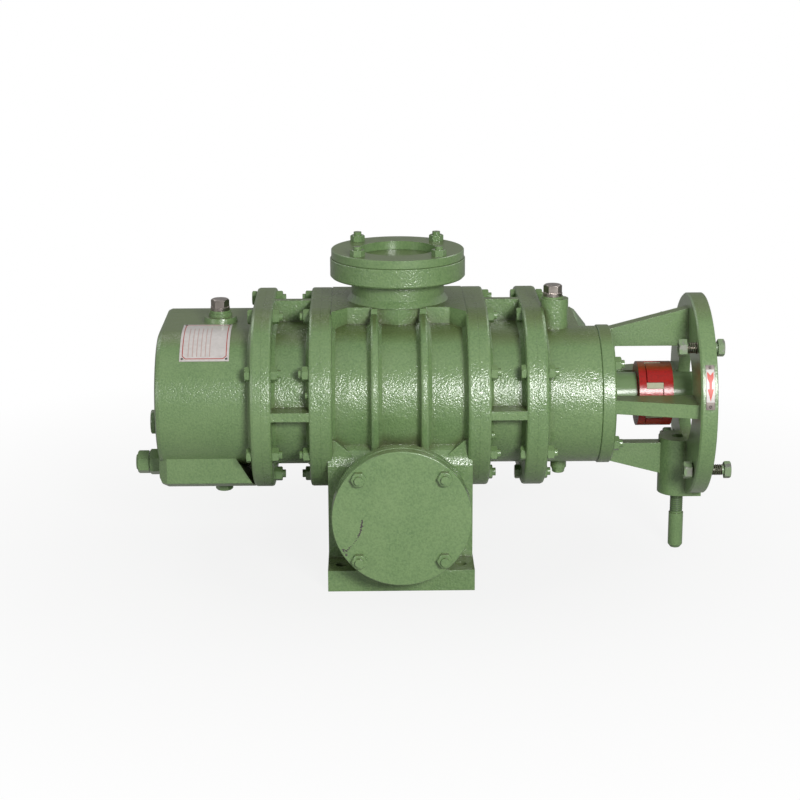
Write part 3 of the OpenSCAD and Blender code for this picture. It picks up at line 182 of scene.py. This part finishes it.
def enamel(name, colours, grain_mm, relief_mm, edge_mm, gloss, sprayed=None, chips=(), lacquer=0.8):
    pore, body, thin = colours
    material = bpy.data.materials.new(name)
    tree = empty_tree(material)
    place = add(tree, "ShaderNodeTexCoord")
    at = place.outputs["Object"]
    grain = add(tree, "ShaderNodeTexNoise", {"Vector": at, "Scale": 1000 / grain_mm, "Detail": 2.5,
                                             "Roughness": 0.55})
    swell = add(tree, "ShaderNodeTexNoise", {"Vector": at, "Scale": 1000 / swell_mm, "Detail": 1.0})
    cloud = add(tree, "ShaderNodeTexNoise", {"Vector": at, "Scale": 1000 / cloud_mm, "Detail": 4.0})
    rounded = add(tree, "ShaderNodeBevel", {"Radius": edge_mm * 0.001}, samples=4)
    waves = add(tree, "ShaderNodeBump", {"Height": swell.outputs["Fac"], "Distance": relief_mm * 0.0016,
                                         "Strength": 0.6, "Normal": rounded.outputs[0]})
    skin = add(tree, "ShaderNodeBump", {"Height": grain.outputs["Fac"], "Distance": relief_mm * 0.001,
                                        "Strength": 1.0, "Normal": waves.outputs[0]})
    pores = add(tree, "ShaderNodeValToRGB", {"Fac": grain.outputs["Fac"]})
    pore_end, body_end = pores.color_ramp.elements
    pore_end.position, body_end.position = 0.30, 0.62
    pore_end.color, body_end.color = linear(pore), linear(body)
    veil = add(tree, "ShaderNodeMath", {0: cloud.outputs["Fac"], 1: 0.55}, operation="MULTIPLY")
    base = add(tree, "ShaderNodeMix", {0: veil.outputs[0], 6: pores.outputs["Color"], 7: linear(thin)},
               data_type="RGBA")

    # Upward faces are mixed towards dark olive: painted shade on the tops. Their coat and specular are
    # lowered as well.
    upward = add(tree, "ShaderNodeSeparateXYZ", {0: place.outputs["Normal"]}).outputs["Z"]
    painted_top_shade = add(tree, "ShaderNodeMapRange", {"Value": upward, "From Min": 0.84, "From Max": 0.95,
                                           "To Max": 0.55})
    base = add(tree, "ShaderNodeMix", {0: painted_top_shade.outputs[0], 6: base.outputs[2], 7: linear("#565b30")},
               data_type="RGBA")
    dull_coat = add(tree, "ShaderNodeMapRange", {"Value": upward, "From Min": 0.70, "From Max": 0.95,
                                                 "To Min": lacquer, "To Max": lacquer * 0.2})
    dull_body = add(tree, "ShaderNodeMapRange", {"Value": upward, "From Min": 0.70, "From Max": 0.95,
                                                 "To Min": 0.5, "To Max": 0.3})
    # Corners and creases, found by ambient occlusion, are darkened to brown: painted shade.
    occlusion_for_painted_shade = add(tree, "ShaderNodeAmbientOcclusion", {"Distance": 0.020}, samples=6, only_local=True)
    painted_corner_shade = add(tree, "ShaderNodeMapRange", {"Value": occlusion_for_painted_shade.outputs["AO"], "From Min": 0.72,
                                              "From Max": 0.25, "To Max": 0.70})
    base = add(tree, "ShaderNodeMix", {0: painted_corner_shade.outputs[0], 6: base.outputs[2], 7: linear("#4d4731")},
               data_type="RGBA")
    if chips:
        base = chipped(tree, at, base.outputs[2], chips)
    if sprayed:
        base = oversprayed(tree, at, swell.outputs["Fac"], base.outputs[2], *sprayed)

    shine = add(tree, "ShaderNodeMapRange", {"Value": cloud.outputs["Fac"], "To Min": gloss - 0.05,
                                             "To Max": gloss + 0.09})
    paint = add(tree, "ShaderNodeBsdfPrincipled", {
        "Base Color": base.outputs[2], "IOR": 1.5, "Roughness": shine.outputs[0], "Normal": skin.outputs[0],
        "Specular IOR Level": dull_body.outputs[0], "Coat Weight": dull_coat.outputs[0],
        "Coat Roughness": 0.18, "Coat IOR": 1.5, "Coat Normal": skin.outputs[0]})
    add(tree, "ShaderNodeOutputMaterial", {"Surface": paint.outputs[0]})
    return material


def finish_nodes(material, *names):
    for name in names:
        cad[name].data.materials.clear()
        cad[name].data.materials.append(material)


def scuffs():
    track = [(-0.0466, 0.1050, 1.0), (-0.0470, 0.0985, 1.7), (-0.0484, 0.0915, 1.9), (-0.0515, 0.0845, 1.4),
             (-0.0550, 0.0790, 0.9), (-0.0598, 0.0730, 0.9), (-0.0650, 0.0680, 1.3), (-0.0690, 0.0695, 1.4),
             (-0.0675, 0.0655, 1.7), (-0.0640, 0.0605, 1.1)]
    front_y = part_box("outlet_blind_flange")[0][1]
    steps = 3
    for first, last in zip(track, track[1:]):
        for step in range(steps):
            x, z, reach_mm = (a + (b - a) * step / steps for a, b in zip(first, last))
            yield (x, front_y, z), reach_mm


rough_casting = enamel("green_enamel_on_sand_cast_iron", green, grain_mm=2.6, relief_mm=0.80, edge_mm=1.1,
                       gloss=0.26)
even_casting = enamel("green_enamel_on_dressed_cast_iron", green, grain_mm=2.2, relief_mm=0.45, edge_mm=0.9,
                      gloss=0.30)
turned_steel = enamel("green_enamel_on_turned_steel", green, grain_mm=2.4, relief_mm=0.25, edge_mm=0.9,
                      gloss=0.28)
scuffed_steel = enamel("scuffed_green_enamel_on_turned_steel", green, grain_mm=2.4, relief_mm=0.25,
                       edge_mm=0.9, gloss=0.28, chips=list(scuffs()))
small_steel = enamel("green_enamel_on_bolts_and_nuts", green, grain_mm=1.8, relief_mm=0.14, edge_mm=0.4,
                     gloss=0.24)
finish_nodes(rough_casting, "casing", "gear_side_plate", "drive_side_plate", "drive_cover")
finish_nodes(even_casting, "gear_cover", "coupling_bracket")
finish_nodes(turned_steel, "inlet_ring_flange", "inlet_blanking_disc", "rear_outlet_flange", "outlet_gaskets")
finish_nodes(scuffed_steel, "outlet_blind_flange")
finish_nodes(small_steel, "inlet_studs", "inlet_nuts", "outlet_studs", "outlet_nuts", "gear_cover_bolts",
             "gear_cover_nuts", "gear_plate_studs", "gear_plate_nuts", "drive_plate_studs",
             "drive_plate_nuts", "drive_cover_bolts", "drive_cover_nuts", "dowel_pins", "bracket_studs",
             "bracket_nuts", "filler_washers", "drain_plugs", "drain_fitting", "drain_cap",
             "sight_glass_ring", "support_leg")


# Steel inside the pump and bare fasteners. Shafts, gears and bearings are ground steel, the rotors and seal
# rings are machined iron, the filler plugs are zinc plated, and the motor bolts caught some green spray.
def bare_metal(name, colour, roughness, grain_mm, relief_mm, overspray=None):
    stain_mm, darkest, edge_radius = 9, 0.62, 0.0006
    material = bpy.data.materials.new(name)
    tree = empty_tree(material)
    at = add(tree, "ShaderNodeTexCoord").outputs["Object"]
    marks = add(tree, "ShaderNodeTexNoise", {"Vector": at, "Scale": 1000 / grain_mm, "Detail": 4.0})
    stain = add(tree, "ShaderNodeTexNoise", {"Vector": at, "Scale": 1000 / stain_mm, "Detail": 3.0})
    dull = [part * darkest for part in linear(colour)[:3]] + [1]
    tone = add(tree, "ShaderNodeMix", {0: stain.outputs["Fac"], 6: dull, 7: linear(colour)},
               data_type="RGBA")
    rounded = add(tree, "ShaderNodeBevel", {"Radius": edge_radius}, samples=4)
    relief = add(tree, "ShaderNodeBump", {"Height": marks.outputs["Fac"], "Distance": relief_mm * 0.001,
                                          "Strength": 1.0, "Normal": rounded.outputs[0]})
    spread = add(tree, "ShaderNodeMapRange", {"Value": stain.outputs["Fac"], "To Min": roughness - 0.08,
                                              "To Max": roughness + 0.12})
    metal = add(tree, "ShaderNodeBsdfPrincipled", {
        "Base Color": tone.outputs[2], "Metallic": 1.0, "Roughness": spread.outputs[0],
        "Normal": relief.outputs[0]})
    if overspray:
        clear = add(tree, "ShaderNodeMapRange", {"Value": stain.outputs["Fac"], "From Min": 0.50,
                                                 "From Max": 0.62})
        mist = add(tree, "ShaderNodeMix", {0: clear.outputs[0], 6: linear(overspray), 7: tone.outputs[2]},
                   data_type="RGBA")
        tree.links.new(mist.outputs[2], metal.inputs["Base Color"])
        tree.links.new(clear.outputs[0], metal.inputs["Metallic"])
    add(tree, "ShaderNodeOutputMaterial", {"Surface": metal.outputs[0]})
    return material


ground_steel = bare_metal("ground_steel", "#c3c5c8", roughness=0.28, grain_mm=0.8, relief_mm=0.01)
machined_iron = bare_metal("machined_grey_iron", "#8c8f92", roughness=0.38, grain_mm=1.2, relief_mm=0.02)
zinc_plate = bare_metal("dulled_zinc_plate", "#b9b0aa", roughness=0.30, grain_mm=1.6, relief_mm=0.05)
misted_zinc = bare_metal("zinc_plate_under_green_mist", "#aeb0a6", roughness=0.36, grain_mm=1.6,
                         relief_mm=0.05, overspray="#7f9470")
finish_nodes(ground_steel, "drive_shaft", "driven_shaft", "drive_timing_gear", "driven_timing_gear",
             "drive_gear_key", "driven_gear_key", "bearing_outer_rings", "drive_bearing_rings",
             "driven_bearing_rings", "drive_bearing_balls", "driven_bearing_balls", "oil_slinger",
             "drive_shaft_nut", "driven_shaft_nut", "coupling_key")
finish_nodes(machined_iron, "drive_rotor", "driven_rotor", "chamber_seals")
finish_nodes(zinc_plate, "gear_filler_plug", "drive_filler_plug")
finish_nodes(misted_zinc, "motor_bolts", "motor_nuts")

# Coupling. The jaws of both halves are cast iron in glossy red enamel, and their barrels caught the pump's
# own green spray.
jaws_from, jaws_to = 0.2945, 0.3388
red_enamel = enamel("red_enamel_on_cast_iron", ("#85120e", "#a81410", "#ae1f17"), grain_mm=3.0,
                    relief_mm=0.20, edge_mm=0.5, gloss=0.24, sprayed=(jaws_from, jaws_to, "#728c60"),
                    lacquer=0.0)
finish_nodes(red_enamel, "coupling_pump_hub", "coupling_motor_hub")


# Soft and clear parts. The spider between the coupling's jaws is cast polyurethane, the lip seal is black
# nitrile rubber, and the oil gauge is a disc of pressed glass with a film of oil behind it.
def moulded(name, colour, roughness, grain_mm, relief_mm, **extra):
    darkest = 0.72
    material = bpy.data.materials.new(name)
    tree = empty_tree(material)
    at = add(tree, "ShaderNodeTexCoord").outputs["Object"]
    grain = add(tree, "ShaderNodeTexNoise", {"Vector": at, "Scale": 1000 / grain_mm, "Detail": 3.0})
    dark = [part * darkest for part in linear(colour)[:3]] + [1]
    tone = add(tree, "ShaderNodeMix", {0: grain.outputs["Fac"], 6: dark, 7: linear(colour)},
               data_type="RGBA")
    relief = add(tree, "ShaderNodeBump", {"Height": grain.outputs["Fac"], "Distance": relief_mm * 0.001,
                                          "Strength": 1.0})
    body = add(tree, "ShaderNodeBsdfPrincipled", {"Base Color": tone.outputs[2], "Roughness": roughness,
                                                  "Normal": relief.outputs[0], **extra})
    add(tree, "ShaderNodeOutputMaterial", {"Surface": body.outputs[0]})
    return material


pale_plastic = moulded("pale_polyurethane", "#b4b596", roughness=0.5, grain_mm=2.0, relief_mm=0.05)
black_rubber = moulded("black_nitrile_rubber", "#1d1e1d", roughness=0.55, grain_mm=1.5, relief_mm=0.04)
gauge_glass = moulded("pressed_gauge_glass", "#c9c9a4", roughness=0.08, grain_mm=6.0, relief_mm=0.02,
                      **{"Transmission Weight": 0.75, "IOR": 1.5})
finish_nodes(pale_plastic, "coupling_spider")
finish_nodes(black_rubber, "drive_lip_seal")
finish_nodes(gauge_glass, "sight_glass")


# Blank plate on the gear cover. A thin aluminium plate, printed white with a red frame and ruled columns, is
# bent over the cover's front shoulder and held by four drive rivets. Each sign is drawn flat, with y down
# from its top edge and z out from the surface, and is then bent round the drive shaft's axis.
def middle_of(node):
    low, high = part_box(node)
    return (Vector(low) + Vector(high)) / 2


def rectangle(x0, x1, y0, y1):
    return [(x0, y0), (x1, y0), (x1, y1), (x0, y1)]


def cut_sheet(bm, outline, low, high, step):
    face = bm.faces.new([bm.verts.new((x, y, low)) for x, y in outline])
    raised = bmesh.ops.extrude_face_region(bm, geom=[face])["geom"]
    raised_verts = [part for part in raised if isinstance(part, bmesh.types.BMVert)]
    bmesh.ops.translate(bm, vec=(0, 0, high - low), verts=raised_verts)
    ys = [y for x, y in outline]
    cut = min(ys) + step
    while cut < max(ys) - 1e-5:
        bmesh.ops.bisect_plane(bm, geom=bm.verts[:] + bm.edges[:] + bm.faces[:], plane_co=(0, cut, 0),
                               plane_no=(0, 1, 0))
        cut += step


def bend(bm, first_y, radius, first_turn):
    flat = first_y - drive_axis.y
    bmesh.ops.recalc_face_normals(bm, faces=bm.faces)
    for vert in bm.verts:
        along, height = vert.co.y, vert.co.z
        if along < flat:
            vert.co.y, vert.co.z = first_y - along, drive_axis.z + radius + height
        else:
            turn = first_turn + (along - flat) / radius
            vert.co.y = drive_axis.y - (radius + height) * sin(turn)
            vert.co.z = drive_axis.z + (radius + height) * cos(turn)
    bmesh.ops.reverse_faces(bm, faces=bm.faces)


def finish_piece(bm, name, material, body):
    mesh = bpy.data.meshes.new(name)
    bm.to_mesh(mesh)
    bm.free()
    mesh.materials.append(material)
    piece = show(mesh, name)
    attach(piece, body)


def sign(name, outlines, layer, step, curve, material):
    bm = bmesh.new()
    for outline in outlines:
        cut_sheet(bm, outline, *layer, step)
    bend(bm, **curve)
    finish_piece(bm, name, material, "pump_body")


def rivets(name, places, radius, curve):
    dome = [(0, 0.62), (0.45, 0.55), (0.8, 0.32), (1.0, 0.0), (0, 0.0)]
    low = metal_layer[1]
    bm = bmesh.new()
    for x, y in places:
        verts = [bm.verts.new((x + radius * r, y, low + radius * h)) for r, h in dome]
        edges = [bm.edges.new(pair) for pair in zip(verts, verts[1:])]
        bmesh.ops.spin(bm, geom=verts + edges, cent=(x, y, low), axis=(0, 0, 1), angle=2 * pi, steps=16,
                       use_merge=True)
    bmesh.ops.remove_doubles(bm, verts=bm.verts, dist=1e-6)
    bend(bm, **curve)
    finish_piece(bm, name, rolled_aluminium, "pump_body")


rolled_aluminium = bare_metal("rolled_aluminium", "#877f7a", roughness=0.42, grain_mm=1.0, relief_mm=0.015)
white_print = moulded("white_printed_aluminium", "#d8d2cf", roughness=0.35, grain_mm=5.0, relief_mm=0.02)
red_print = moulded("red_printing_ink", "#b5392f", roughness=0.4, grain_mm=3.0, relief_mm=0.01)
pale_print = moulded("faded_red_printing_ink", "#c6a6a0", roughness=0.4, grain_mm=3.0, relief_mm=0.01)
clear_red = moulded("orange_red_printing_ink", "#d23a22", roughness=0.4, grain_mm=3.0, relief_mm=0.01)
metal_layer, first_ink, second_ink = (0.0002, 0.0009), (0.0009, 0.0010), (0.0010, 0.0011)
drive_axis = middle_of("coupling_spider")

plate_wide, plate_long, plate_left, plate_step = 0.060, 0.0895, -0.266, 0.004
plate_right = plate_left + plate_wide
cover_curve = {"first_y": -0.034, "radius": 0.086, "first_turn": 0.0}
sign("blank_plate", [rectangle(plate_left, plate_right, 0, plate_long)], metal_layer, plate_step,
     cover_curve, white_print)

frame_in, notch, notch_in, line_wide, joint = 0.0030, 0.0042, 0.0046, 0.0010, 0.00003
frame_left, frame_right = plate_left + frame_in, plate_right - frame_in
frame_top, frame_foot = frame_in, plate_long - frame_in
frame_lines = []
for x, inward in ((frame_left, 1), (frame_right, -1)):
    frame_lines.append(rectangle(x, x + inward * line_wide, frame_top + notch + joint,
                                 frame_foot - notch - joint))
    for y, down in ((frame_top, 1), (frame_foot, -1)):
        frame_lines.append([(x, y + down * notch), (x + inward * notch, y),
                            (x + inward * notch_in, y + down * line_wide),
                            (x + inward * line_wide, y + down * notch_in)])
for y, down in ((frame_top, 1), (frame_foot, -1)):
    frame_lines.append(rectangle(frame_left + notch + joint, frame_right - notch - joint, y,
                                 y + down * line_wide))
sign("blank_plate_frame", frame_lines, first_ink, plate_step, cover_curve, red_print)

column_first, column_apart, column_wide, column_top, column_foot = 0.010, 0.0052, 0.0009, 0.022, 0.083
column_lines = []
for column in range(6):
    x = plate_left + column_first + column_apart * column
    column_lines.append(rectangle(x, x + column_wide, column_top, column_foot))
sign("blank_plate_columns", column_lines, first_ink, plate_step, cover_curve, pale_print)

rivet_in = 0.0033
corners = [(x, y) for x in (plate_left + rivet_in, plate_right - rivet_in)
           for y in (rivet_in, plate_long - rivet_in)]
rivets("blank_plate_rivets", corners, radius=0.0017, curve=cover_curve)


# Bezel of the oil gauge. A turned steel ring is screwed in over the glass and stands 5 mm proud of the
# gauge's seat. Its outer edge is rounded and its bore opens outwards.
gauge = middle_of("sight_glass_ring")
gauge.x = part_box("sight_glass_ring")[0][0]
bezel = [(-0.0002, 0.0150), (0.0034, 0.0150), (0.0046, 0.0146), (0.0050, 0.0136), (0.0050, 0.0115),
         (0.0044, 0.0108), (-0.0002, 0.0100)]
bm = bmesh.new()
verts = [bm.verts.new(gauge + Vector((-out, 0, radius))) for out, radius in bezel]
edges = [bm.edges.new(pair) for pair in zip(verts, verts[1:] + verts[:1])]
bmesh.ops.spin(bm, geom=verts + edges, cent=gauge, axis=(1, 0, 0), angle=2 * pi, steps=64, use_merge=True)
bmesh.ops.remove_doubles(bm, verts=bm.verts, dist=1e-6)
bmesh.ops.recalc_face_normals(bm, faces=bm.faces)
finish_piece(bm, "gauge_bezel", small_steel, "pump_body")


# Turning arrow on the motor flange. An aluminium strip with a white panel and a red arrow is riveted round
# the flange's rim at the front and points down, the way the drive shaft turns there.
strip_left, strip_wide, strip_long, strip_step = 0.3630, 0.0105, 0.0537, 0.003
strip_right, strip_middle = strip_left + strip_wide, strip_left + strip_wide / 2
panel_in, panel_top, panel_foot = 0.0006, 0.0055, 0.0445
rim_curve = {"first_y": drive_axis.y, "radius": 0.125, "first_turn": radians(60)}
sign("arrow_strip", [rectangle(strip_left, strip_right, 0, strip_long)], metal_layer, strip_step, rim_curve,
     rolled_aluminium)
sign("arrow_panel", [rectangle(strip_left + panel_in, strip_right - panel_in, panel_top, panel_foot)],
     first_ink, strip_step, rim_curve, white_print)

half_arrow = [(0.0000, 0.0125), (0.0038, 0.0080), (0.0038, 0.0160), (0.0015, 0.0215), (0.0015, 0.0290),
              (0.0037, 0.0290), (0.0000, 0.0435)]
other_half = [(-x, y) for x, y in reversed(half_arrow[1:-1])]
arrow = [(strip_middle + x, y) for x, y in half_arrow + other_half]
sign("turning_arrow", [arrow], second_ink, strip_step, rim_curve, clear_red)
rivets("arrow_strip_rivets", [(strip_middle, 0.0030), (strip_middle, strip_long - 0.0036)], radius=0.0018,
       curve=rim_curve)


# Threads. The rolled threads of the drawn motor bolts are bare and oily, and that of the support leg holds a
# thin coat of enamel and clears the bore of the screw boss. Their pitch is coarser than the real one, so that
# it shows.
def thread(name, start, axis, radius, crest, pitch, length, material, body):
    turns = length / pitch - 1
    steps_per_turn = 20
    steps = int(turns * steps_per_turn)
    start, axis = Vector(start), Vector(axis)
    side = axis.orthogonal().normalized()
    core, foot = radius - 0.0004, radius + 0.00002
    profile = [(core, 0), (foot, 0), (radius + crest, pitch * 0.35), (radius + crest, pitch * 0.55),
               (foot, pitch * 0.9), (core, pitch * 0.9)]
    bm = bmesh.new()
    verts = [bm.verts.new(start + side * r + axis * h) for r, h in profile]
    edges = [bm.edges.new(pair) for pair in zip(verts, verts[1:] + verts[:1])]
    bmesh.ops.spin(bm, geom=verts + edges, cent=start, axis=axis, angle=2 * pi * turns, steps=steps,
                   dvec=axis * (length - pitch) / steps)
    bmesh.ops.holes_fill(bm, edges=bm.edges, sides=8)
    bmesh.ops.recalc_face_normals(bm, faces=bm.faces)
    finish_piece(bm, name, material, body)


thin_enamel = enamel("thin_green_enamel_on_a_thread", ("#3a4a33", "#4c6040", "#5f7550"), grain_mm=1.6,
                     relief_mm=0.04, edge_mm=0.1, gloss=0.40, lacquer=0.0)
leg_x, leg_shoulder_z = 0.3513, 0.0475
thread("leg_thread", (leg_x, drive_axis.y, leg_shoulder_z), (0, 0, 1), radius=0.0078, crest=0.00026,
       pitch=0.0028, length=0.028, material=thin_enamel, body="leg")

# Each bolt's state is its angle on the flange, how far its head stands off, and how low it lies in its hole.
oily_steel = bare_metal("oily_rolled_steel", "#6b6259", roughness=0.36, grain_mm=1.0, relief_mm=0.02)
bolt_states = ((45, 0, 0), (135, 0.0045, 0), (225, 0.018, 0.00148), (315, 0.006, 0.00148))
bolt_circle, bolt_long, bolt_point = 0.1075, 0.044, 0.0006
flange_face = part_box("coupling_bracket")[1][0]
for bolt, (turn, head_off, drop) in enumerate(bolt_states, start=1):
    first = Vector((flange_face + head_off - bolt_long + bolt_point,
                    drive_axis.y + bolt_circle * cos(radians(turn)),
                    drive_axis.z + bolt_circle * sin(radians(turn)) - drop))
    thread(f"motor_bolt_thread_{bolt}", first, (1, 0, 0), radius=0.006, crest=0.0007, pitch=0.0025,
           length=0.0428, material=oily_steel, body="pump_body")
